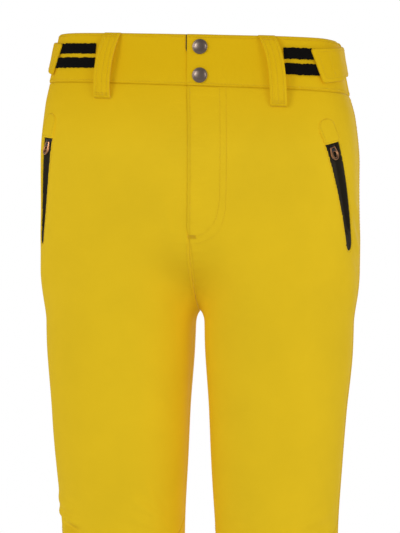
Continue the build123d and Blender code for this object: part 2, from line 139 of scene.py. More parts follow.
# Each fold: its two ends, its width and its height in millimetres. The wearer's right leg has x below 0.
FOLDS = [
    ((-17, -48, 552), (-54, -90, 596), 5, 4.2), ((-18, -52, 548), (-76, -98, 586), 6, 5.4),
    ((-18, -56, 540), (-88, -100, 570), 6, 4.4), ((-17, -50, 556), (-44, -84, 610), 5, -3.2),
    ((-18, -54, 546), (-66, -96, 578), 4, -4.2), ((-20, -60, 530), (-92, -98, 548), 7, 4.4),
    ((-152, -24, 566), (-122, -80, 548), 5, 5.2), ((-152, -30, 556), (-118, -84, 538), 5, -4.8),
    ((-152, -20, 580), (-128, -76, 564), 6, 3.2), ((-148, -40, 540), (-108, -88, 524), 7, 4.4),
    ((18, -50, 552), (50, -88, 590), 9, 2.1), ((19, -56, 545), (70, -96, 566), 8, -1.9),
    ((152, -24, 570), (126, -80, 552), 8, 2.1), ((152, -30, 556), (122, -84, 540), 7, -1.8),
    ((4, -96, 838), (44, -106, 806), 10, 2.1), ((8, -92, 824), (58, -104, 776), 12, -1.8),
    ((-4, -96, 840), (-42, -106, 812), 10, 1.7), ((-8, -92, 826), (-60, -104, 782), 12, -1.7),
    ((12, -80, 800), (30, -100, 756), 8, 1.4), ((-12, -80, 800), (-26, -98, 762), 8, -1.3),
    ((-14, -106, 905), (-10, -106, 862), 7, -1.6), ((-24, -106, 900), (-16, -106, 840), 9, 1.2),
    ((-158, -40, 905), (-168, 0, 850), 9, -1.3), ((166, -50, 908), (172, 6, 884), 6, 2.0),
    ((168, -48, 890), (173, 6, 868), 5, -1.7), ((168, -46, 872), (173, 4, 846), 6, 2.0),
    ((166, -44, 846), (170, 2, 828), 5, -1.6), ((160, -60, 820), (168, -10, 790), 8, 1.4),
    ((6, -104, 1020), (58, -104, 1004), 7, -1.0), ((-96, -100, 1012), (-64, -104, 1020), 6, 1.2),
    ((92, -100, 1014), (60, -104, 1020), 6, 1.0), ((30, 100, 800), (110, 116, 772), 14, 2.9),
    ((-30, 100, 800), (-110, 116, 772), 14, 2.2), ((34, 96, 780), (96, 108, 738), 14, -2.2),
    ((-34, 96, 780), (-96, 108, 738), 14, -2.2), ((14, 136, 900), (70, 132, 862), 14, 1.6),
    ((-14, 136, 900), (-70, 132, 862), 14, 1.6), ((40, 70, 560), (126, 66, 540), 9, 2.6),
    ((-40, 70, 560), (-126, 66, 540), 9, 2.6), ((40, 68, 540), (128, 62, 522), 9, -2.4),
    ((-40, 68, 540), (-128, 62, 522), 9, -2.4), ((46, 66, 518), (124, 62, 500), 9, 2.2),
    ((-46, 66, 518), (-124, 62, 500), 9, 2.2), ((50, -78, 70), (120, -78, 48), 9, 2.0),
    ((-50, -78, 70), (-120, -78, 48), 9, 2.0), ((46, 78, 84), (124, 78, 60), 10, 2.2),
    ((-46, 78, 84), (-124, 78, 60), 10, 2.2), ((-60, -104, 1058), (-20, -102, 1048), 6, -0.5),
]


def folds(p):
    """Height of the folds at each point, plus a slow unevenness of three crossed waves."""
    x, y, z = p[..., 0], p[..., 1], p[..., 2]
    total = 0.45 * np.sin(x / 31 + 0.6) * np.sin(z / 47 + 1.1) + 0.3 * np.sin((x + z) / 23 + y / 40)
    total = total + 0.35 * np.sin(z / 61 - x / 53 + 2.0)
    for a, b, width, height in FOLDS:
        near = np.linalg.norm(p - (np.array(a, float) + np.array(b, float)) / 2, axis=-1) < 90
        if near.any():
            total[near] += ridge(p[near], a, b, width, height)
    calm = np.clip((z - WAIST_SEAM + 25) / 30, 0, 1)
    return total * (1 - 0.75 * calm)


def lay(x, y, z, out):
    """Points lifted out from the filled-out cloth along its normal, folds added, and their normals."""
    step = 0.6
    normal = np.stack([outside(x + step, y, z) - outside(x - step, y, z),
                       outside(x, y + step, z) - outside(x, y - step, z),
                       outside(x, y, z + step) - outside(x, y, z - step)], axis=-1)
    normal /= np.linalg.norm(normal, axis=-1, keepdims=True)
    p = np.stack([x, y, z], axis=-1)
    lift = np.broadcast_to(out, x.shape) + folds(p)
    p = p + normal * lift[..., None]
    p[..., 0] += sway(z)
    p[..., 2] -= lean(z) * x
    p[..., 1] += HIPS_Y
    return p, normal


def on_leg(side, turn, z, out=0.0):
    """On one leg, turn degrees from its outer side, forwards positive."""
    turn, z = np.broadcast_arrays(np.radians(turn), np.asarray(z, float))
    cx, cy = leg_x(z), leg_y(z)
    wall = np.minimum((cx - 0.05) / np.maximum(-np.cos(turn), 1e-3), 300.0)
    reach = crossing(lambda r: outside(cx + r * np.cos(turn), cy - r * np.sin(turn), z), 5.0, wall)
    return lay(side * (cx + reach * np.cos(turn)), cy - reach * np.sin(turn), z, out)


def on_hips(angle, z, out=0.0):
    """On the seat or waistband, an angle in degrees from the front towards the wearer's left."""
    angle, z = np.broadcast_arrays(np.radians(angle), np.asarray(z, float))
    reach = crossing(lambda r: outside(r * np.sin(angle), -r * np.cos(angle), z), 20.0, 320.0)
    return lay(reach * np.sin(angle), -reach * np.cos(angle), z, out)


def on_front(x, z, out=0.0):
    """On the front, x millimetres to the wearer's left of the middle."""
    x, z = np.broadcast_arrays(np.asarray(x, float), np.asarray(z, float))
    y = -crossing(lambda d: outside(x, -d, z), 5.0, 260.0)
    return lay(x, y, z, out)


def inner_turn(z, way):
    """The turn at which a leg panel ends: the inseam, or the middle seam above the fork."""
    cx, cy = leg_x(z), leg_y(z)
    shut = 180.0 - np.degrees(0.1 / leg_half_width(z))
    depth = crossing(lambda d: outside(0.1, cy - way * d, z), 0.0, 260.0)
    above = np.degrees(np.arctan2(depth, 0.1 - cx))
    return np.where(outside(np.full_like(z, 0.1), cy, z) < 0, np.minimum(above, shut), shut)


def make_mesh(name, points, faces, materials, face_material=None, uv=None, sharp=False):
    """One object from points in millimetres, quads or triangles, and an optional flat map per corner."""
    mesh = bpy.data.meshes.new(name)
    faces = np.asarray(faces)
    mesh.vertices.add(len(points))
    mesh.vertices.foreach_set("co", (np.asarray(points, float) * MM).ravel())
    mesh.loops.add(faces.size)
    mesh.loops.foreach_set("vertex_index", faces.ravel())
    mesh.polygons.add(len(faces))
    mesh.polygons.foreach_set("loop_start", np.arange(0, faces.size, faces.shape[1]))
    mesh.polygons.foreach_set("use_smooth", np.full(len(faces), not sharp))
    if face_material is not None:
        mesh.polygons.foreach_set("material_index", face_material)
    if uv is not None:
        layer = mesh.uv_layers.new(name="cloth")
        layer.data.foreach_set("uv", np.asarray(uv, float)[faces.ravel()].ravel())
    mesh.update(calc_edges=True)
    mesh.validate()
    piece = bpy.data.objects.new(name, mesh)
    for material in materials:
        mesh.materials.append(material)
    bpy.context.scene.collection.objects.link(piece)
    return piece


def arc_map(points):
    """A flat map of a grid in metres: arc length across each row, and up the middle column."""
    across = np.linalg.norm(np.diff(points, axis=1), axis=-1)
    across = np.concatenate([np.zeros((len(points), 1)), np.cumsum(across, axis=1)], axis=1)
    middle = points[:, points.shape[1] // 2]
    up = np.concatenate([[0], np.cumsum(np.linalg.norm(np.diff(middle, axis=0), axis=-1))])
    centre = across[:, [across.shape[1] // 2]]
    return np.stack([across - centre, np.broadcast_to(up[:, None], across.shape)], axis=-1) * MM


def sew(name, points, normals, thick, materials, keep=None, wrap=False):
    """A closed layer: a grid of outer points, the same sunk by its thickness, and a wall at each edge."""
    rows, columns = points.shape[:2]
    index = np.arange(rows * columns).reshape(rows, columns)
    right = np.roll(index, -1, axis=1) if wrap else index
    a, b = (index[:-1, :], right[:-1, :]) if wrap else (index[:-1, :-1], index[:-1, 1:])
    c, d = (right[1:, :], index[1:, :]) if wrap else (index[1:, 1:], index[1:, :-1])
    quads = np.stack([a, b, c, d], axis=-1)
    quads = quads.reshape(-1, 4) if keep is None else quads[keep]
    flat = points.reshape(-1, 3)
    facing = np.cross(flat[quads[:, 2]] - flat[quads[:, 0]], flat[quads[:, 3]] - flat[quads[:, 1]])
    if np.sum(facing * normals.reshape(-1, 3)[quads[:, 0]]) < 0:
        quads = quads[:, ::-1]
    count = rows * columns
    ends = np.concatenate([np.stack([quads[:, i], quads[:, (i + 1) % 4]], axis=-1) for i in range(4)])
    key, back = ends[:, 0] * count + ends[:, 1], ends[:, 1] * count + ends[:, 0]
    rim = ends[~np.isin(key, back)]
    walls = np.stack([rim[:, 1], rim[:, 0], rim[:, 0] + count, rim[:, 1] + count], axis=-1)
    depth = np.broadcast_to(np.asarray(thick, float), points.shape[:2])[..., None]
    every = np.concatenate([flat, (points - normals * depth).reshape(-1, 3)])
    faces = np.concatenate([quads, quads[:, ::-1] + count, walls])
    paint = np.zeros(len(faces), int)
    if len(materials) > 1:
        paint[len(quads):2 * len(quads)] = 1
    used = np.unique(faces)
    renumber = np.zeros(2 * count, int)
    renumber[used] = np.arange(len(used))
    uv = np.tile(arc_map(points).reshape(-1, 2), (2, 1))
    return make_mesh(name, every[used], renumber[faces], materials, paint, uv[used])


def node_material(name, colour, roughness):
    """A new material, its Principled shader, and a short way to add and link nodes."""
    material = bpy.data.materials.new(name)
    material.use_nodes = True
    tree = material.node_tree
    shader = tree.nodes["Principled BSDF"]
    shader.inputs["Base Color"].default_value = (*colour, 1)
    shader.inputs["Roughness"].default_value = roughness

    def add(kind, **settings):
        node = tree.nodes.new(kind)
        for key, value in settings.items():
            if hasattr(node, key):
                setattr(node, key, value)
            else:
                node.inputs[key.replace("_", " ")].default_value = value
        return node

    return material, shader, add, tree.links.new


def mottle(add, link, shader, colour, spread, scale, coordinates):
    """Colour that wanders a little either side of one value, by noise."""
    noise = add("ShaderNodeTexNoise", Scale=scale, Detail=4.0, Roughness=0.55)
    link(coordinates, noise.inputs["Vector"])
    ramp = add("ShaderNodeValToRGB")
    low, high = 1 - spread, 1 + spread
    ramp.color_ramp.elements[0].position, ramp.color_ramp.elements[1].position = 0.3, 0.7
    ramp.color_ramp.elements[0].color = (*[c * low for c in colour], 1)
    ramp.color_ramp.elements[1].color = (*[c * high for c in colour], 1)
    link(noise.outputs["Fac"], ramp.inputs["Fac"])
    link(ramp.outputs["Color"], shader.inputs["Base Color"])
    return ramp.outputs["Color"]


def woven(name, colour, thread_mm, roughness, sheen, spread=0.05, depth=0.12, slant=0.6, waist=None):
    """Woven cloth: crossed ribs on the flat map, slow colour mottle, and painted shade darkening the colour
    up to the waist.
    """
    material, shader, add, link = node_material(name, colour, roughness)
    flat = add("ShaderNodeUVMap", uv_map="cloth").outputs["UV"]
    place = add("ShaderNodeTexCoord").outputs["Object"]
    wandering = mottle(add, link, shader, colour, spread, 14.0, place)
    # Painted shade: from 955 mm up to 1045 mm the colour slides towards a darker, more saturated yellow,
    # standing in for the shade at the waist.
    if waist:
        parts = add("ShaderNodeSeparateXYZ")
        rise = add("ShaderNodeMapRange", From_Min=0.955, From_Max=1.045)
        link(place, parts.inputs["Vector"])
        link(parts.outputs["Z"], rise.inputs["Value"])
        shade = add("ShaderNodeMix", data_type="RGBA")
        shade.inputs["B"].default_value = (*waist, 1)
        link(rise.outputs["Result"], shade.inputs["Factor"])
        link(wandering, shade.inputs["A"])
        link(shade.outputs["Result"], shader.inputs["Base Color"])
    heights = []
    for turn in (slant, slant - math.pi / 2):
        turned = add("ShaderNodeMapping")
        turned.inputs["Rotation"].default_value[2] = turn
        link(flat, turned.inputs["Vector"])
        ribs = add("ShaderNodeTexWave", Scale=0.314 / (thread_mm * MM) / 2, Distortion=0.35, Detail=1.0)
        link(turned.outputs["Vector"], ribs.inputs["Vector"])
        heights.append(ribs.outputs["Fac"])
    weave = add("ShaderNodeMath", operation="MAXIMUM")
    link(heights[0], weave.inputs[0])
    link(heights[1], weave.inputs[1])
    fuzz = add("ShaderNodeTexNoise", Scale=900.0, Detail=3.0)
    link(place, fuzz.inputs["Vector"])
    mixed = add("ShaderNodeMath", operation="ADD")
    link(weave.outputs[0], mixed.inputs[0])
    link(fuzz.outputs["Fac"], mixed.inputs[1])
    bump = add("ShaderNodeBump", Strength=depth, Distance=0.0004)
    link(mixed.outputs[0], bump.inputs["Height"])
    link(bump.outputs["Normal"], shader.inputs["Normal"])
    shader.inputs["Sheen Weight"].default_value = sheen
    shader.inputs["Sheen Roughness"].default_value = 0.45
    shader.inputs["Specular IOR Level"].default_value = 0.1
    return material


# The second yellow is painted shade, blended in towards the waist.
YELLOW, WAIST_SHADE_YELLOW = (0.660, 0.440, 0.0095), (0.625, 0.388, 0.0020)
softshell = woven("softshell", YELLOW, 0.55, 0.85, 0.0, spread=0.03, waist=WAIST_SHADE_YELLOW)
fleece = woven("brushed_inside", (0.055, 0.052, 0.05), 1.1, 0.95, 0.4, spread=0.2, depth=0.6)


def knee_seam(share):
    return KNEE_SIDE - KNEE_DIP * np.sin(np.pi * share)


SEAM_ROLL, SEAM_DROP = 1.6, 0.75


def rolled(across, length):
    """How far a panel sinks towards a seam at both ends of a length: a quarter wave over SEAM_ROLL."""
    near = np.clip(np.minimum(across, length - across) / SEAM_ROLL, 0, 1)
    return -SEAM_DROP * (1 - np.sin(near * np.pi / 2))


def pucker(along, away, size=0.22, pitch=9.0, reach=9.0):
    """Small waves along a sewn seam that fade away from it."""
    wave = np.sin(2 * np.pi * along / pitch + 0.8 * np.sin(along / 31))
    return size * wave * np.exp(-np.abs(away) / reach)


def leg_grid(side, way, low, high, step):
    """Turn and height of each point of a leg panel, and its lift, rolled down at every seam.

    The panel's last turn jumps at the fork, so a running mean spreads the columns, and share^8 closes
    what is left.
    """
    columns, rows = int(300 / step), int((np.max(high(0.5)) - np.min(low(0.5))) / step)
    share = np.linspace(0, 1, columns)[None, :]
    up = np.linspace(0, 1, rows)[:, None]
    z = low(share) + (high(share) - low(share)) * up
    end, near = inner_turn(z, way), 14
    total = np.cumsum(np.pad(end, ((near + 1, near), (0, 0)), mode="edge"), axis=0)
    calm = (total[2 * near + 1:] - total[:-2 * near - 1]) / (2 * near + 1)
    turn = way * (share * calm + (end - calm) * share**8)
    width = np.radians(end) * leg_half_width(z) * 1.15
    out = rolled(share * width, width) + rolled(z - low(share), high(share) - low(share))
    out = out + pucker(z, share * width) + pucker(z, (1 - share) * width)
    return turn, z, out


# The hand pocket windows, the rear pocket window and the fly are cut from the same panels, so the
# places of the zips come first. A zip's frame runs X down it, Y across it and Z out of the cloth.
def zip_frame(angle_top, z_top, angle_tip, z_tip, sink, short=0.0):
    """Origin, three axes and window length of a zip between two places; the window may end short."""
    def place(angle, z):
        angle = math.radians(angle)
        reach = float(crossing(lambda r: outside(r * np.sin(angle), -r * np.cos(angle), z), 20.0, 320.0))
        x = reach * math.sin(angle)
        return np.array([x, -reach * math.cos(angle) + HIPS_Y, z - lean(z) * x])

    top, tip = place(angle_top, z_top), place(angle_tip, z_tip)
    middle_angle, middle_z = (angle_top + angle_tip) / 2, (z_top + z_tip) / 2
    span = place(middle_angle + 4, middle_z) - place(middle_angle - 4, middle_z)
    outward = np.cross(tip - top, span)
    outward *= np.sign(outward[0]) * np.sign(angle_top) / np.linalg.norm(outward)
    length = float(np.linalg.norm(tip - top))
    along = (tip - top) / length
    return top - sink * outward, np.stack([along, np.cross(outward, along), outward]), length - short


# Then come the window's half widths, at its top and at its tip. HEAD of it is under the hood.
HEAD, ZIP_SINK = 14.0, 4.8
HAND_HALF, REAR_HALF = 8.8, 5.2
zips = {
    "left_hand": (*zip_frame(61.5, 969, 72.0, 856, ZIP_SINK, 4.0), HAND_HALF, 7.4),
    "right_hand": (*zip_frame(-64.0, 966, -69.0, 857, ZIP_SINK), HAND_HALF, 5.6),
    "rear": (*zip_frame(96.8, 1008, 104, 915, ZIP_SINK), REAR_HALF, REAR_HALF),
}


def window_distance(name, p):
    """Distance outside a zip's window: a tapering slot, square above under its hood and round below."""
    origin, axes, length, top, tip = zips[name]
    local = (p - origin) @ axes.T
    x, y, z = local[..., 0], local[..., 1], local[..., 2]
    half = top + (tip - top) * np.clip((x + HEAD) / (length + HEAD), 0, 1) ** 3
    sides = np.maximum(np.abs(y) - half, -HEAD - x)
    round_end = np.hypot(x - length, y) - tip
    distance = np.where(x > length, round_end, sides)
    return np.where(np.abs(z) < 40, distance, 99.0)


def cut_window(name, points):
    """Moves the grid's nearest points onto the window's edge, and returns which cells stay."""
    distance = window_distance(name, points)
    axes = zips[name][1]
    slope = np.stack([window_distance(name, points + 0.1 * a) - distance for a in axes[:2]], axis=-1) / 0.1
    slope /= np.maximum(np.linalg.norm(slope, axis=-1, keepdims=True), 1e-6)
    near = np.abs(distance) < 1.15
    shift = (slope @ axes[:2]) * distance[..., None]
    points[near] -= shift[near]
    middle = (points[:-1, :-1] + points[1:, :-1] + points[:-1, 1:] + points[1:, 1:]) / 4
    return window_distance(name, middle) > 0


def follow_flap(piece):
    """Bakes the piece's placement into its points and leaves it without a parent."""
    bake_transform(piece)


def at_height(height):
    return lambda share: np.full(np.shape(share), float(height))


def flap_lift(x, z):
    """How far the fly flap stands off the front: most at its free edge, nothing beyond its fold."""
    return 2.2 * np.clip((z - FLY_BOTTOM - 2) / 10, 0, 1) * np.clip(1 - (x - FLAP_EDGE_X) / 34, 0, 1) ** 1.3


for side, name in ((1, "left"), (-1, "right")):
    back = leg_grid(side, -1, at_height(HEM_TOP), at_height(WAIST_SEAM), 3.4)
    points, normals = on_leg(side, *back)
    keep = cut_window("rear", points) if side > 0 else None
    piece = sew(f"{name}_leg_back_cloth", points, normals, CLOTH, [softshell, fleece], keep)
    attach(piece, "root")
    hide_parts(f"{name}_leg_back")

    points, normals = on_leg(side, *leg_grid(side, 1, at_height(HEM_TOP), knee_seam, 3.0))
    piece = sew(f"{name}_lower_front_cloth", points, normals, CLOTH, [softshell, fleece])
    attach(piece, "root")
    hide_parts(f"{name}_lower_front")

    turn, z, out = leg_grid(side, 1, knee_seam, at_height(WAIST_SEAM), 2.1)
    points, normals = on_leg(side, turn, z, out)
    if side > 0:
        x = points[..., 0].copy()
        points += normals * flap_lift(x, z)[..., None]
        above, near = np.clip((z - FLY_BOTTOM - 4) / 8, 0, 1), np.clip(1 - x / 26, 0, 1)
        points[..., 0] += FLAP_EDGE_X * above * near**3
    keep = cut_window(f"{name}_hand", points)
    piece = sew(f"{name}_thigh_front_cloth", points, normals, CLOTH, [softshell, fleece], keep)
    if side > 0:
        follow_flap(piece)
        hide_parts("left_thigh_front", "fly_flap")
    else:
        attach(piece, "root")
        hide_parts("right_thigh_front")

# ---- Waistband ---------------------------------------------------------------------------------
# A 55 mm band of two layers of the same cloth, folded over its top edge and top-stitched along the
# seam. It is cut in three, joined at the side seams, and its left end is the flap over the fly.
BAND_THICK, BAND_RADIUS, FAR = 2.4, 105, 1e6
wide = np.linspace(0, 1, 33)[:, None]


def band_grid(start, end, columns, start_open=False):
    """Angle, height and lift of a stretch of the band: round at its top edge, rolled in at its seams.

    A stretch that starts at an open end has no seam there, and lies lower by a seam's drop all along.
    """
    share = np.linspace(0, 1, columns)[None, :]
    z = WAIST_SEAM + (WAIST_TOP - WAIST_SEAM) * wide + 0 * share
    first = start(z) if callable(start) else start
    angle = first + (end - first) * share
    run = np.radians(np.abs(end - first)) * 150
    out = 0.35 + rolled(z - WAIST_SEAM, FAR) - 1.3 * np.clip((z - WAIST_TOP + 2.2) / 2.2, 0, 1) ** 2
    first_end = -SEAM_DROP if start_open else rolled(share * run, FAR)
    ends = first_end + rolled((1 - share) * run, FAR)
    ripple = 0.35 * np.sin(angle / 3.1 + z / 17) * np.sin(z / 21 + 0.4)
    return angle, z, out + ends + pucker(angle * 2.7, z - WAIST_SEAM, 0.3, 7.5, 7.0) + ripple


def flap_end_angle(z):
    """The angle of the flap's free edge at each height."""
    return np.degrees(np.arctan2(FLAP_EDGE_X, front_depth(z)))


def band_lift(x):
    """How far the band's flap end stands off the band under it."""
    near = np.clip((42 - x) / 24, 0, 1)
    return 2.6 * near**2 * (3 - 2 * near)


def band_gap(z):
    """The wearer's right band draws back from the flap's free edge over its top 20 mm."""
    return -0.1 - 2.0 * np.clip((z - 1056) / 8, 0, 1)


bands = {
    "left_waistband_cloth": (band_grid(flap_end_angle, SIDE_ANGLE, 96, start_open=True),
                             ("left_waistband", "fly_flap_band")),
    "right_waistband_cloth": (band_grid(band_gap, -SIDE_ANGLE, 96), ("right_waistband",)),
    "rear_waistband_cloth": (band_grid(SIDE_ANGLE, 360 - SIDE_ANGLE, 190), ("rear_waistband",)),
}
for name, (grid, replaced) in bands.items():
    angle, z, out = grid
    if name.startswith("left"):
        out = out + band_lift(np.radians(angle) * BAND_RADIUS)
    points, normals = on_hips(angle, z, out)
    piece = sew(name, points, normals, BAND_THICK, [softshell, fleece])
    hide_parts(*replaced)
    if name.startswith("left"):
        follow_flap(piece)
    else:
        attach(piece, "root")

# ---- Thread ------------------------------------------------------------------------------------
# Lockstitch in matching mustard polyester, about seven stitches to the inch: single rows on the
# waistband, pockets and tabs, twin rows down the rise and round the fly, and bar-tacks at ends.
thread, shader, add, link = node_material("mustard_thread", (0.56, 0.36, 0.006), 0.7)
twist = add("ShaderNodeTexWave", Scale=300.0, Distortion=0.5)
twist.bands_direction = "DIAGONAL"
link(add("ShaderNodeTexCoord").outputs["Object"], twist.inputs["Vector"])
bump = add("ShaderNodeBump", Strength=0.4, Distance=0.0002)
link(twist.outputs["Fac"], bump.inputs["Height"])
link(bump.outputs["Normal"], shader.inputs["Normal"])
shader.inputs["Specular IOR Level"].default_value = 0.2
PITCH, STITCH, THREAD_RADIUS = 3.5, 2.8, 0.21


def stitch_row(points, normals, pitch=PITCH, length=STITCH, radius=THREAD_RADIUS):
    """Stitches along a path: six-sided rods, each arched over its length and sunk at both ends."""
    run = np.concatenate([[0], np.cumsum(np.linalg.norm(np.diff(points, axis=0), axis=-1))])
    starts = np.arange(0.3, run[-1] - length, pitch)
    share = np.linspace(0, 1, 6)
    at = starts[:, None] + share * length
    place = np.stack([np.interp(at, run, points[:, i]) for i in range(3)], axis=-1)
    up = np.stack([np.interp(at, run, normals[:, i]) for i in range(3)], axis=-1)
    up /= np.linalg.norm(up, axis=-1, keepdims=True)
    ahead = np.gradient(place, axis=1)
    ahead /= np.linalg.norm(ahead, axis=-1, keepdims=True) + 1e-12
    sideways = np.cross(up, ahead)
    place = place + up * (radius * 1.4 * np.sin(np.pi * share) ** 0.6 - 0.16)[None, :, None]
    turn = np.arange(6) * np.pi / 3
    girth = radius * (0.55 + 0.45 * np.sin(np.pi * share) ** 0.5)[None, :, None, None]
    ring = up[:, :, None] * np.cos(turn)[:, None] + sideways[:, :, None] * np.sin(turn)[:, None]
    return (place[:, :, None] + ring * girth).reshape(-1, 36, 3)


def sew_thread(name, body, rows):
    """One object of all the stitches that move with one body."""
    rods = np.concatenate(rows)
    step, turn = np.arange(5)[:, None] * 6, np.arange(6)[None, :]
    nearer = (turn + 1) % 6
    wall = np.stack([step + turn, step + nearer, step + 6 + nearer, step + 6 + turn], axis=-1)
    wall = wall.reshape(-1, 4)
    caps = np.array([[3, 2, 1, 0], [5, 4, 3, 0], [30, 31, 32, 33], [30, 33, 34, 35]])
    faces = np.concatenate([wall, caps])[:, ::-1]
    every = (faces[None] + np.arange(len(rods))[:, None, None] * 36).reshape(-1, 4)
    piece = make_mesh(name, rods.reshape(-1, 3), every, [thread])
    if body == "blend":
        follow_flap(piece)
    else:
        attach(piece, body)
    return piece


def row_on(place, *path, lift=0.12, steps=400, **stitch):
    """A row of stitches on a surface, through straight stretches between the given pairs."""
    path = np.array(path, float)
    run = np.concatenate([[0], np.cumsum(np.linalg.norm(np.diff(path, axis=0), axis=-1))])
    at = np.linspace(0, run[-1], steps)
    first, second = np.interp(at, run, path[:, 0]), np.interp(at, run, path[:, 1])
    extra = lift(first, second) if callable(lift) else lift
    return stitch_row(*place(first, second, extra), **stitch)


def curve(*corners, steps=24):
    """A smooth path through corners, each span a Catmull-Rom cubic."""
    p = np.array([corners[0], *corners, corners[-1]], float)
    t = np.linspace(0, 1, steps)[:, None]
    spans = []
    for a, b, c, d in zip(p[:-3], p[1:-2], p[2:-1], p[3:]):
        square, cube = 2 * a - 5 * b + 4 * c - d, 3 * b - a - 3 * c + d
        spans.append(0.5 * (2 * b + (c - a) * t + square * t**2 + cube * t**3))
    return np.concatenate(spans)


def on_flap(x, z):
    return 0.12 + flap_lift(x, z)


def on_flap_band(angle, z):
    return 0.5 + band_lift(np.radians(angle) * BAND_RADIUS)


def round_leg(side):
    """The place function of one leg, for a row of stitches."""
    return lambda turn, z, out: on_leg(side, turn, z, out)


root_rows, flap_rows = [], []
BAR_TACK = {"pitch": 0.6, "length": 0.55}
outer = curve((40.0, 1024), (40.0, 960), (39.8, 905), (38.6, 889), (34.0, 873), (26, 863.5), (13, 857),
              (4, 855.5))
inner = curve((33.2, 1024), (33.2, 960), (33.0, 912), (31.9, 896), (28, 881), (21, 871), (13, 865.5),
              (8, 864.5))
for path in (outer, inner):
    flap_rows.append(row_on(on_front, *path, lift=on_flap))
flap_rows.append(row_on(on_front, (1.2, 1023), (1.2, 866), lift=on_flap))
for z in (861.6, 863.0, 864.4):
    flap_rows.append(row_on(on_front, (-1.4, z), (8.2, z), lift=on_flap, radius=0.34, **BAR_TACK))
for x_top, x_low in ((-3.6, -2.8), (3.4, 2.8)):
    rise = np.array([[x_top * 0.4 + x_low * 0.2, 856], [x_top, 838], [x_low, 812], [x_low, 800]])
    root_rows.append(row_on(on_front, *rise))
for z in (WAIST_TOP - 3.2, WAIST_SEAM + 2.6):
    flap_rows.append(row_on(on_hips, (-0.6, z), (SIDE_ANGLE - 1, z), lift=on_flap_band))
    root_rows.append(row_on(on_hips, (-1.5, z), (-SIDE_ANGLE + 1, z), lift=0.5))
    root_rows.append(row_on(on_hips, (SIDE_ANGLE + 1, z), (359 - SIDE_ANGLE, z), lift=0.5, steps=900))
for side in (1, -1):
    turns = np.arange(1, 180, 3)
    knee_row = np.stack([turns, knee_seam(turns / 180) + 2.8], axis=-1)
    root_rows.append(row_on(round_leg(side), *knee_row))
    root_rows.append(row_on(round_leg(side), (0, HEM_TOP + 2.5), (359, HEM_TOP + 2.5), steps=900))
    for turn in (-1.6, 1.6):
        root_rows.append(row_on(round_leg(side), (turn, 30), (turn, 1022), steps=1200))
    root_rows.append(row_on(on_hips, (180 + side * 1.6, 1022), (180 + side * 1.6, 830)))
sew_thread("fly_thread", "blend", flap_rows)

# ---- Belt loops --------------------------------------------------------------------------------
# Five straps of folded cloth, 18 mm wide, for a belt or braces. Three rows of stitching draw
# grooves down each, and bar-tacks hold both ends to the waistband.
LOOP_HIGH, LOOP_RISE, LOOP_THICK, LOOP_WIDTH = 1080.2, 9.0, 2.0, 18.0
# Each loop: its angle at the foot and at the top, how late it leans over, and the height of its foot.
loops = {"left_belt_loop": (43.7, 40.3, 4.0, 1005.5), "right_belt_loop": (-42.8, -40.1, 2.2, 1008.0),
         "left_rear_belt_loop": (147, 147, 1.0, 1006.0), "right_rear_belt_loop": (-147, -147, 1.0, 1006.0),
         "centre_belt_loop": (180, 180, 1.0, 1006.0)}
for name, (low_angle, high_angle, bow, low_end) in loops.items():
    rise = np.linspace(0, 1, 72)[:, None]
    across = np.linspace(-1, 1, 37)[None, :]
    z = low_end + (LOOP_HIGH - low_end) * rise + 0 * across
    arch = 0.4 + LOOP_RISE * np.sin(np.pi * rise) ** 0.5
    angle = low_angle + (high_angle - low_angle) * rise**bow
    both_ways = np.concatenate([angle - 0.5, angle + 0.5], axis=1)
    one_degree = np.diff(on_hips(both_ways, z[:, :2], arch + 0 * z[:, :2])[0], axis=1)
    angle = angle + LOOP_WIDTH / 2 / np.linalg.norm(one_degree, axis=-1) * across
    groove = sum(np.exp(-(((across - c) / 0.07) ** 2)) for c in (-0.55, 0.0, 0.55))
    shape = LOOP_THICK - 0.5 * groove - 0.9 * np.abs(across) ** 9 + 0.12 * np.sin(rise * 41 + across * 5)
    points, normals = on_hips(angle, z, arch + shape)
    piece = sew(f"{name}_strap", points, normals, LOOP_THICK * 0.85, [softshell])
    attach(piece, "root")
    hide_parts(name)
    for c in (6, 18, 30):
        root_rows.append(stitch_row(points[2:-2, c], normals[2:-2, c], pitch=2.9, length=2.3, radius=0.24))
    for r in (3, 5, 66, 68):
        root_rows.append(stitch_row(points[r, 3:-3], normals[r, 3:-3], radius=0.3, **BAR_TACK))

# ---- Hook-and-loop strips ----------------------------------------------------------------------
# Two strips of black loop pile each side, sewn on the waistband for the tab to grip. The pile
# frays a little past the selvedge, so their edges are ragged.
pile, shader, add, link = node_material("black_pile", (0.0045, 0.004, 0.0038), 0.95)
fuzz = add("ShaderNodeTexNoise", Scale=1600.0, Detail=4.0)
link(add("ShaderNodeTexCoord").outputs["Object"], fuzz.inputs["Vector"])
bump = add("ShaderNodeBump", Strength=1.0, Distance=0.0009)
link(fuzz.outputs["Fac"], bump.inputs["Height"])
link(bump.outputs["Normal"], shader.inputs["Normal"])
shader.inputs["Specular IOR Level"].default_value = 0.05
rng = np.random.default_rng(7)


def ragged(rows, columns, size):
    """Random offsets on the first and last two rows, averaged so that they wander."""
    wander = rng.normal(0, size, (rows, columns))
    wander = (wander + np.roll(wander, 1, axis=1) + np.roll(wander, 2, axis=1)) / 1.7
    edge = np.zeros((rows, 1))
    edge[[0, 1, -2, -1], 0] = 1, 0.6, 0.6, 1
    return wander * edge


for side, name in ((1, "left"), (-1, "right")):
    for low, high in ((1040.5, 1052.0), (1056.5, 1068.0)):
        angle = side * np.linspace(46.5, 70.0, 90)[None, :]
        z = np.linspace(low, high, 18)[:, None] + ragged(18, 90, 0.28)
        out = 1.75 + rng.normal(0, 0.12, z.shape)
        points, normals = on_hips(angle + 0 * z, z, out)
        piece = sew(f"{name}_pile_{'lower' if low < 1050 else 'upper'}", points, normals, 1.0, [pile])
        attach(piece, "root")
    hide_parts(f"{name}_loop_tape")

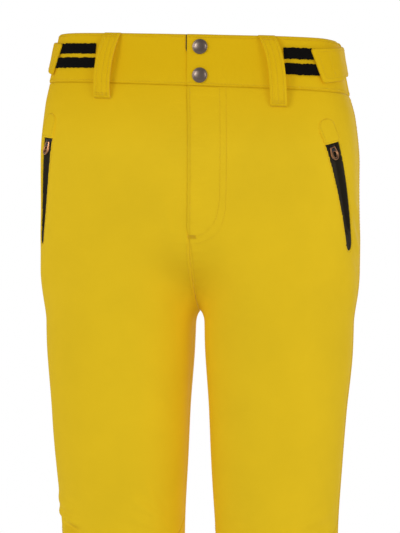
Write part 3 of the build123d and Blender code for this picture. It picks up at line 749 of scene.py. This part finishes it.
# ---- Waist tabs --------------------------------------------------------------------------------
# A double layer of cloth 34 mm wide, sewn down at the side and pulled forwards to take in the
# waist. A patch of hooks under its free end grips the pile, and it peels up from that end.
TAB_SEWN, TAB_FREE, TAB_THICK = 112.0, {1: 56.2, -1: 61.0}, 1.8
TAB_LOW, TAB_WIDE, TAB_RAKE = 1034, 34, 3.5
for side, name in ((1, "left"), (-1, "right")):
    rise = np.linspace(0, 1, 40)[:, None]
    share = np.linspace(0, 1, 110)[None, :]
    z = TAB_LOW + TAB_WIDE * rise + np.clip(share - 0.06, -0.06, 0.55) * (21 - 8 * rise)
    free = TAB_FREE[side] + TAB_RAKE * (1 - rise)
    corner = 1.3 * np.clip(np.abs(rise - 0.5) * 2 - 0.82, 0, 1) ** 2 * 14
    angle = free + corner * (1 - share) ** 6 + (TAB_SEWN - free) * share
    end = np.clip(share * 100 / 1.6, 0, 1)
    edge = np.clip(np.minimum(rise, 1 - rise) * TAB_WIDE / 1.3, 0, 1)
    out = 2.5 - 1.1 * np.clip(share * 3 - 0.6, 0, 1) + TAB_THICK + 0.7 * np.exp(-share * 30)
    out = out - 0.7 * (1 - edge) ** 2 - 0.6 * (1 - end) ** 2
    out = out + 0.18 * np.sin(angle / 2.2 + rise * 5) * np.sin(rise * 6.5)
    points, normals = on_hips(side * angle, z, out)
    piece = sew(f"{name}_tab_cloth", points, normals, TAB_THICK, [softshell])
    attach(piece, f"{name}_tab")
    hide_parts(f"{name}_waist_tab")
    rows = [stitch_row(points[4, 4:], normals[4, 4:]), stitch_row(points[-5, 4:], normals[-5, 4:]),
            stitch_row(points[4:-4, 4], normals[4:-4, 4]), stitch_row(points[4:-4, 14], normals[4:-4, 14])]
    sew_thread(f"{name}_tab_thread", f"{name}_tab", rows)

    angle = side * (free + np.linspace(1.4, 9.5, 24)[None, :])
    points, normals = on_hips(angle, 1037 + 28 * rise + 0 * angle, 2.45 + rng.normal(0, 0.05, (40, 24)))
    piece = sew(f"{name}_hooks", points, normals, 0.9, [pile])
    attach(piece, f"{name}_tab")
    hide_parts(f"{name}_tab_hook")

    angle = side * (TAB_SEWN - 0.2 + 12.2 * np.linspace(0, 1, 26)[None, :])
    out = 4.2 - 3.4 * np.clip((np.abs(angle) - TAB_SEWN - 9) / 3, 0, 1) ** 2
    out = out - 1.2 * (1 - np.clip(np.minimum(rise, 1 - rise) * 36 / 2, 0, 1)) ** 2
    points, normals = on_hips(angle + 0 * rise, 1041 + 31 * rise + 0 * angle, out + 0 * rise)
    piece = sew(f"{name}_tab_patch", points, normals, 3.4, [softshell])
    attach(piece, "root")
    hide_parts(f"{name}_tab_anchor")
    for c in (3, 20):
        root_rows.append(stitch_row(points[3:-3, c], normals[3:-3, c]))

# ---- Pocket zips -------------------------------------------------------------------------------
# Coated black coil zips set behind tapering windows in the cloth, with a stitched hood over the
# top end that the slider parks under. The rear pocket's tape is dark brown and has no hood.
LENGTHS = {"left_hand": 84.0, "right_hand": 84.0, "rear": 62.0}
TAPE_BLACK, TAPE_BROWN = (0.027, 0.022, 0.0135), (0.035, 0.017, 0.009)
coated = woven("black_coated_tape", TAPE_BLACK, 0.5, 0.8, 0.0, spread=0.15, depth=0.25, slant=0.8)
brown = woven("brown_tape", TAPE_BROWN, 0.5, 0.7, 0.1, spread=0.2, depth=0.35, slant=0.8)


def drape(name, x, y, out):
    """A zip's own (x, y) carried straight out onto the folded cloth, then lifted, with normals."""
    origin, axes, _, _, _ = zips[name]
    x, y = np.broadcast_arrays(np.asarray(x, float), np.asarray(y, float))
    base = origin + x[..., None] * axes[0] + y[..., None] * axes[1]

    def beyond(d):
        p = base + d[..., None] * axes[2]
        return outside(p[..., 0], p[..., 1] - HIPS_Y, p[..., 2] + lean(p[..., 2]) * p[..., 0])

    p = base + crossing(beyond, np.full(x.shape, -25.0), np.full(x.shape, 40.0))[..., None] * axes[2]
    return lay(p[..., 0], p[..., 1] - HIPS_Y, p[..., 2] + lean(p[..., 2]) * p[..., 0], out)


def window_path(name, grow):
    """Down one side of a zip's window, round its tip and up the other, in the zip's own x and y."""
    _, _, length, top, tip = zips[name]
    bend = np.linspace(-np.pi / 2, np.pi / 2, 24)
    round_x, round_y = length + (tip + grow) * np.cos(bend), (tip + grow) * np.sin(bend)
    start = 3.0 if name != "rear" else -HEAD - grow
    down = np.linspace(start, length, 60)
    side = top + grow + (tip - top) * np.clip((down + HEAD) / (length + HEAD), 0, 1) ** 3
    return (np.concatenate([down[:-1], round_x, down[-2::-1]]),
            np.concatenate([-side[:-1], round_y, side[-2::-1]]))


for name, (origin, axes, length, _, tip) in zips.items():
    for half, way in (("fore", 1), ("aft", -1)):
        x = np.linspace(-HEAD - 2, length + tip + 4, 100)[:, None]
        y = way * np.linspace(0.25, 11.0 if name != "rear" else 9.0, 40)[None, :]
        level = origin + x[..., None] * axes[0] + y[..., None] * axes[1]
        deep = np.clip((np.abs(y) - (6.4 if name != "rear" else 4.7)) / 1.4, 0, 1)
        past_slider = np.clip((x - LENGTHS[name] - 10) / 10, 0, 1)
        deep = np.maximum(deep, past_slider * np.clip(np.abs(y) / 0.8, 0, 1))
        under = np.clip(window_distance(name, level) / 1.0 + 1.3, 0, 1)
        flush = drape(name, x, y, -0.35 - 1.05 * under**2 * (3 - 2 * under))[0]
        level = level - (0.5 * np.exp(-((y / 0.5) ** 2)))[..., None] * axes[2]
        share = (deep**2 * (3 - 2 * deep))[..., None]
        points = level * (1 - share) + flush * share
        normals = np.broadcast_to(axes[2], points.shape)
        piece = sew(f"{name}_tape_{half}", points, normals, 0.6, [brown if name == "rear" else coated])
        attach(piece, "root")
        if way > 0:
            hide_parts(f"{name}_zip_tapes")
    root_rows.append(stitch_row(*drape(name, *window_path(name, 1.9), 0.12)))
    if name == "rear":
        continue
    reach, wide_half = HEAD + 12.0, 9.7
    along = np.linspace(0, 1, 44)[:, None]
    over = np.linspace(-1, 1, 37)[None, :]
    x = -reach + along * (reach + 0.5)
    past_round = np.clip((wide_half - reach - x) / wide_half, 0, 0.995)
    half = wide_half * np.sqrt(np.clip(1 - past_round**2, 0.004, 1))
    y = half * over
    rim_near = np.minimum(wide_half * (1 - np.abs(over)), np.clip((x + reach), 0, 99) * 0.8)
    crown = np.clip(rim_near / 3.2, 0, 1)
    out = 0.45 + 2.7 * np.clip((x + reach) / reach, 0, 1) ** 1.2 * crown**0.7
    out = out + 0.55 * np.clip(rim_near / 1.0, 0, 1)
    points, normals = drape(name, x + 0 * y, y, out)
    piece = sew(f"{name}_hood", points, normals, 0.9, [softshell])
    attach(piece, "root")
    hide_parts(f"{name}_zip_garage")
    rim = np.concatenate([points[::-1, 3], points[1, 4:-4], points[:, -4]])
    up = np.concatenate([normals[::-1, 3], normals[1, 4:-4], normals[:, -4]])
    root_rows.append(stitch_row(rim, up, radius=0.25))
    root_rows.append(stitch_row(points[-4, 3:-3], normals[-4, 3:-3], radius=0.25))

# The pullers are cast keyhole tabs with a copper-coloured bevelled rim and a dark enamelled face.
PIN_PLACE, PIN_HEIGHT, PULLER_TILT = 3.4, 3.9, math.radians(12.0)
RING_AT, RING_HALF, NECK_AT, NECK_HALF = 10.2, 6.2, 1.6, 4.1
REAR_NARROWER = 10.0 / 12.4


def metal(name, colour, roughness, wear):
    """Metal with a fine brushed grain and a slowly varying gloss."""
    material, shader, add, link = node_material(name, colour, roughness)
    shader.inputs["Metallic"].default_value = 1.0
    place = add("ShaderNodeTexCoord").outputs["Object"]
    mottle(add, link, shader, colour, wear, 120.0, place)
    grain = add("ShaderNodeTexNoise", Scale=2200.0, Detail=3.0)
    link(place, grain.inputs["Vector"])
    bump = add("ShaderNodeBump", Strength=0.12, Distance=0.0002)
    link(grain.outputs["Fac"], bump.inputs["Height"])
    link(bump.outputs["Normal"], shader.inputs["Normal"])
    return material


copper = metal("copper_rim", (0.52, 0.25, 0.12), 0.32, 0.15)
dark_metal = metal("dark_metal", (0.05, 0.045, 0.042), 0.38, 0.25)
enamel = node_material("dark_enamel", (0.012, 0.010, 0.009), 0.3)[0]


def keyhole_outline(inset, count=96):
    """The puller's outline: straight sides that widen from its neck to its round end, drawn in by inset."""
    bend = np.linspace(-np.pi / 2, np.pi / 2, count // 2)
    end_x, end_r = RING_AT, RING_HALF - inset
    neck = NECK_AT + inset
    side = np.linspace(0, 1, count // 4)[1:]
    x = np.concatenate([end_x + end_r * np.cos(bend), end_x + (neck - end_x) * side,
                        neck + (end_x - neck) * side[:-1]])
    y_neck = NECK_HALF - inset
    y = np.concatenate([end_r * np.sin(bend), end_r + (y_neck - end_r) * side,
                        -y_neck - (end_r - y_neck) * side[:-1]])
    return x, y


def keyhole_hole(radius, count=96):
    """A round hole with its points spread as the outline's are, by angle from the hole's middle."""
    x, y = keyhole_outline(0.0, count)
    angle = np.arctan2(y, x - RING_AT)
    return RING_AT + radius * np.cos(angle), radius * np.sin(angle)


for name, (origin, axes, _, _, _) in zips.items():
    turn = np.array([[math.cos(PULLER_TILT), 0, math.sin(PULLER_TILT)], [0, 1, 0],
                     [-math.sin(PULLER_TILT), 0, math.cos(PULLER_TILT)]])
    frame_axes = turn @ axes
    pin = origin + PIN_PLACE * axes[0] + PIN_HEIGHT * axes[2]
    rings = [(*keyhole_outline(0.0), -0.5), (*keyhole_outline(0.0), 0.5), (*keyhole_outline(0.35), 0.95),
             (*keyhole_outline(0.9), 0.95), (*keyhole_outline(1.15), 0.6), (*keyhole_hole(4.1), 0.6),
             (*keyhole_hole(3.9), 0.85), (*keyhole_hole(3.5), 0.7), (*keyhole_hole(3.5), -0.7),
             (*keyhole_hole(3.9), -0.85), (*keyhole_hole(4.1), -0.6), (*keyhole_outline(1.15), -0.6),
             (*keyhole_outline(0.9), -0.95), (*keyhole_outline(0.35), -0.95)]
    local = np.stack([np.stack([x, y, np.full(x.shape, z)], axis=-1) for x, y, z in rings])
    local[..., 1] *= REAR_NARROWER if name == "rear" else 1.0
    count = local.shape[1]
    ring, step = np.arange(len(rings))[:, None], np.arange(count)[None, :]
    onward, ahead = (ring + 1) % len(rings), (step + 1) % count
    here, beyond = ring * count, onward * count
    faces = np.stack([here + step, here + ahead, beyond + ahead, beyond + step], axis=-1)
    paint = np.where((ring == 4) | (ring == 10), 1, 0) + 0 * step
    piece = make_mesh(f"{name}_puller_tab", (local @ frame_axes + pin).reshape(-1, 3), faces.reshape(-1, 4),
                      [copper, enamel], paint.ravel(), sharp=True)
    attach(piece, f"{name}_puller")
    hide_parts(f"{name}_zip_puller")
    around = np.linspace(0, 2 * np.pi, 25)[:-1]
    eye = np.stack([np.stack([r * np.cos(around), y + 0 * around, r * np.sin(around)], axis=-1)
                    for r, y in ((1.9, -2.1), (1.9, 2.1), (1.15, 2.1), (1.15, -2.1))])
    ring, step = np.arange(4)[:, None], np.arange(24)[None, :]
    onward, ahead = (ring + 1) % 4, (step + 1) % 24
    faces = np.stack([ring * 24 + step, ring * 24 + ahead, onward * 24 + ahead, onward * 24 + step], axis=-1)
    corners = np.array([[x, y, z] for x in (1.2, 4.4) for y in (-2.0, 2.0) for z in (-0.7, 0.7)])
    box_faces = np.array([[0, 1, 3, 2], [4, 6, 7, 5], [0, 4, 5, 1], [2, 3, 7, 6], [0, 2, 6, 4], [1, 5, 7, 3]])
    points = np.concatenate([eye.reshape(-1, 3), corners]) @ frame_axes + pin
    faces = np.concatenate([faces.reshape(-1, 4), box_faces + 96])
    piece = make_mesh(f"{name}_puller_eye", points, faces, [dark_metal], sharp=True)
    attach(piece, f"{name}_puller")

coil_nylon, shader, _, _ = node_material("black_nylon_coil", (0.012, 0.011, 0.010), 0.75)
shader.inputs["Specular IOR Level"].default_value = 0.15


def paint_node(node, material):
    """A CAD part keeps its own mesh and takes a made material."""
    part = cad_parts[node]
    part.data.materials.clear()
    part.data.materials.append(material)


for name in ("left_hand", "right_hand", "rear", "fly"):
    paint_node(f"{name}_zip_coils", coil_nylon)
    paint_node(f"{name}_zip_slider", dark_metal)
    if name != "fly":
        paint_node(f"{name}_zip_stop", coil_nylon)
paint_node("fly_zip_tapes", coated)

# ---- Press studs -------------------------------------------------------------------------------
# Two antique pewter press studs close the waistband. Each cap is a plain spun dome with a rolled
# rim, set through the flap onto its socket, and the studs are on the underlap.
pewter = metal("pewter", (0.175, 0.135, 0.112), 0.3, 0.10)
CAP_X, CAP_HEIGHTS = 12.3, (1036.0, 1066.5)
rings = np.array([(7.6, -0.5), (8.1, 0.0), (8.2, 0.5), (8.1, 0.9), (7.8, 1.15), (7.4, 1.2), (7.1, 1.15),
                  (6.6, 1.4), (5.4, 1.8), (3.9, 2.1), (2.2, 2.3), (0.8, 2.36), (0.02, 2.36)])
caps, cap_faces = [], []
for i, z in enumerate(CAP_HEIGHTS):
    (centre, above), (normal, _) = on_front(np.array([CAP_X, CAP_X]), np.array([z, z + 8]))
    up = above - centre
    up -= normal * (up @ normal)
    up /= np.linalg.norm(up)
    centre = centre + normal * 3.3
    turn = np.linspace(0, 2 * np.pi, 65)[:-1]
    disc = rings[:, None, :1] * (np.cos(turn)[:, None] * up + np.sin(turn)[:, None] * np.cross(normal, up))
    caps.append((centre + disc + rings[:, None, 1:] * normal).reshape(-1, 3))
    ring, step = np.arange(len(rings) - 1)[:, None], np.arange(64)[None, :]
    ahead = (step + 1) % 64
    onward = ring + 1
    quads = np.stack([ring * 64 + step, ring * 64 + ahead, onward * 64 + ahead, onward * 64 + step], axis=-1)
    spoke = np.arange(2, 64, 2)
    floor = np.stack([0 * spoke, spoke - 1, spoke, (spoke + 1) % 64], axis=-1)
    cap_faces.append(np.concatenate([quads.reshape(-1, 4), floor[:, ::-1]]) + i * len(rings) * 64)
cap_points, cap_quads = np.concatenate(caps), np.concatenate(cap_faces)
piece = make_mesh("press_stud_caps", cap_points, cap_quads, [pewter])
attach(piece, "fly_flap")
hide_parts("snap_caps")
for node in ("snap_sockets", "snap_studs"):
    paint_node(node, pewter)

# ---- Inside the fly ----------------------------------------------------------------------------
# The underlap is the waistband's other end, which carries the studs. Behind the zip hangs a shield
# of pocketing, sewn into the wearer's right edge, that keeps the zip off the wearer.
lining = woven("pocketing", (0.42, 0.39, 0.33), 0.5, 0.85, 0.1, spread=0.06, depth=0.3, slant=0.0)
for name, node, heights, out, thick, cloths in (
        # The underlap takes the dark brushed inside cloth on its outer face too: a dark sheet standing in for
        # the shade in the gap by the flap's free edge, where the real underlap is shell cloth.
        ("underlap_band", "waistband_underlap", (1025, 1080), -3.2, 2.4, [fleece]),
        ("fly_shield_cloth", "fly_shield", (866, 1020), -11.9, 1.0, [lining])):
    x, z = np.meshgrid(np.linspace(-8, 34, 26), np.linspace(*heights, 40))
    points, normals = on_front(x, z, out + 0.25 * np.sin(z / 9 + x / 7))
    piece = sew(name, points, normals, thick, cloths)
    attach(piece, "root")
    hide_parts(node)

# ---- Pocket bags -------------------------------------------------------------------------------
# Flat bags of light grey pocketing hang inside behind each zip, two layers sewn together round
# the edge and open only at the zip.
bags = {"left_pocket_bag": (48, 86, 806, 991), "right_pocket_bag": (-48, -86, 806, 991),
        "rear_pocket_bag": (93.5, 135, 880, 1015)}
for name, (near, far, low, high) in bags.items():
    loop = np.linspace(0, 2 * np.pi, 97)[:-1][None, :]
    rise = np.linspace(0, 1, 60)[:, None]
    angle = (near + far) / 2 + (far - near) / 2 * np.cos(loop)
    shut = np.sqrt(np.clip(np.minimum(rise, 1 - rise) * 12, 0, 1))
    out = -16.5 + 3.4 * np.sin(loop) * shut + 0.5 * np.sin(rise * 17 + loop)
    points, _ = on_hips(angle + 0 * rise, low + (high - low) * rise + 0 * loop, out)
    across = np.roll(points, -1, axis=1) - np.roll(points, 1, axis=1)
    upward = np.gradient(points, axis=0)
    normals = np.cross(across, upward) * np.sign(far - near)
    normals /= np.linalg.norm(normals, axis=-1, keepdims=True) + 1e-9
    piece = sew(f"{name}_cloth", points, normals, 0.5, [lining], wrap=True)
    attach(piece, "root")
    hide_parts(name)

# ---- Hems and snow gaiters ---------------------------------------------------------------------
# Each hem is a doubled band of the shell cloth. Inside it a gaiter of black coated nylon is sewn
# round the leg, gathered by a ribbed gripper elastic that closes over a boot.
nylon = woven("black_nylon", (0.011, 0.011, 0.012), 0.4, 0.55, 0.0, spread=0.15, depth=0.3, slant=0.0)
ribbed, shader, add, link = node_material("ribbed_elastic", (0.012, 0.012, 0.012), 0.75)
ribs = add("ShaderNodeTexWave", Scale=200.0)
ribs.bands_direction = "Z"
link(add("ShaderNodeTexCoord").outputs["Object"], ribs.inputs["Vector"])
bump = add("ShaderNodeBump", Strength=0.7, Distance=0.0006)
link(ribs.outputs["Fac"], bump.inputs["Height"])
link(bump.outputs["Normal"], shader.inputs["Normal"])
GATHERS = 34


def hem_lift(turn, rise):
    return 0.35 - 0.8 * np.abs(2 * rise - 1) ** 14 + 0 * turn


def gaiter_lift(turn, rise):
    return -8.6 + 4.6 * rise + 0.9 * (1 - rise) * np.sin(np.radians(turn) * GATHERS)


def elastic_lift(turn, rise):
    return -8.4 + 0.35 * np.sin(np.radians(turn) * GATHERS) + 0 * rise


# Each tube: the CAD node it stands for, its own name, two heights, rows, lift, thickness, cloth, slot.
tubes = (
    ("hem", "hem_band", 0.0, 25.0, 14, hem_lift, 2.4, [softshell, fleece], "shell_cloth"),
    ("snow_gaiter", "gaiter_nylon", 34.0, 165.0, 60, gaiter_lift, 0.5, [nylon], "gaiter_cloth"),
    ("gaiter_elastic", "gripper_elastic", 16.0, 33.6, 16, elastic_lift, 1.6, [ribbed], "elastic"),
)
for side, leg in ((1, "left"), (-1, "right")):
    for node, called, low, high, rows, lift, thick, cloths, slot_name in tubes:
        turn = np.linspace(0, 360, 241)[:-1][None, :]
        rise = np.linspace(0, 1, rows)[:, None]
        z = low + (high - low) * rise + 0 * turn
        points, normals = on_leg(side, turn + 0 * rise, z, lift(turn, rise))
        piece = sew(f"{leg}_{called}", points, normals, thick, cloths, wrap=True)
        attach(piece, "root")
        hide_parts(f"{leg}_{node}")
sew_thread("body_thread", "root", root_rows)

# ---- Stage, light and camera -------------------------------------------------------------------
# A pale floor under a white surround, two soft keys from the front left and right, and shadowless
# fills at both sides and behind. The camera is level with the thighs, a little to the wearer's left.
FLOOR_RADIUS, FLOOR_Z = 2600, -0.2
turn = np.linspace(0, 2 * np.pi, 97)[:-1]
edge = np.stack([FLOOR_RADIUS * np.cos(turn), FLOOR_RADIUS * np.sin(turn), FLOOR_Z + 0 * turn], axis=-1)
disc = np.concatenate([[[0, 0, FLOOR_Z]], edge])
rim = np.arange(0, 96, 2)
wedges = np.stack([0 * rim, 1 + rim, 2 + rim, 1 + (2 + rim) % 96], axis=-1)
pale, shader, add, link = node_material("pale_floor", (0.8, 0.8, 0.79), 0.7)
mottle(add, link, shader, (0.8, 0.8, 0.79), 0.015, 3.0, add("ShaderNodeTexCoord").outputs["Object"])
make_mesh("floor", disc, wedges, [pale])

scene = bpy.context.scene
scene.view_settings.view_transform = "Standard"
world = bpy.data.worlds.new("white_surround")
world.use_nodes = True
tree = world.node_tree
ambient, backdrop = tree.nodes["Background"], tree.nodes.new("ShaderNodeBackground")
ambient.inputs["Color"].default_value = (1, 1, 1, 1)
ambient.inputs["Strength"].default_value = 0.45
backdrop.inputs["Color"].default_value = (1, 1, 1, 1)
path, mix = tree.nodes.new("ShaderNodeLightPath"), tree.nodes.new("ShaderNodeMixShader")
tree.links.new(path.outputs["Is Camera Ray"], mix.inputs["Fac"])
tree.links.new(ambient.outputs["Background"], mix.inputs[1])
tree.links.new(backdrop.outputs["Background"], mix.inputs[2])
tree.links.new(mix.outputs["Shader"], tree.nodes["World Output"].inputs["Surface"])
scene.world = world


def soft_light(name, place, aim, size, power, shadow=True):
    lamp = bpy.data.lights.new(name, "AREA")
    lamp.use_shadow = shadow
    lamp.energy, lamp.size = power, size
    made = bpy.data.objects.new(name, lamp)
    made.location = place
    from_to = np.array(aim, float) - np.array(place, float)
    yaw = math.atan2(from_to[0], -from_to[1])
    made.rotation_euler = (math.acos(-from_to[2] / np.linalg.norm(from_to)), 0, math.pi + yaw)
    scene.collection.objects.link(made)


soft_light("key", (-1.6, -2.6, 1.9), (0, 0, 0.85), 0.9, 26)
soft_light("second_key", (1.9, -2.4, 1.7), (0, 0, 0.85), 0.9, 15)
soft_light("right_fill", (2.9, -1.4, 0.8), (0, 0, 0.8), 1.8, 36, shadow=False)
soft_light("left_fill", (-2.9, -0.8, 0.9), (0, 0, 0.8), 1.6, 23, shadow=False)
soft_light("back_fill", (0, 3.2, 1.3), (0, 0, 0.8), 1.8, 52, shadow=False)

azimuth, distance, frame_height = math.radians(7.5), 3.8, 0.5863
aim = np.array([-0.0013, HIPS_Y * MM, 0.831])
camera = bpy.data.cameras.new("camera")
camera.sensor_fit, camera.sensor_height = "VERTICAL", 24.0
camera.lens = 24.0 * distance / frame_height
viewer = bpy.data.objects.new("camera", camera)
viewer.location = aim + distance * np.array([math.sin(azimuth), -math.cos(azimuth), 0])
viewer.rotation_euler = (math.pi / 2, 0, azimuth)
scene.collection.objects.link(viewer)
scene.camera = viewer
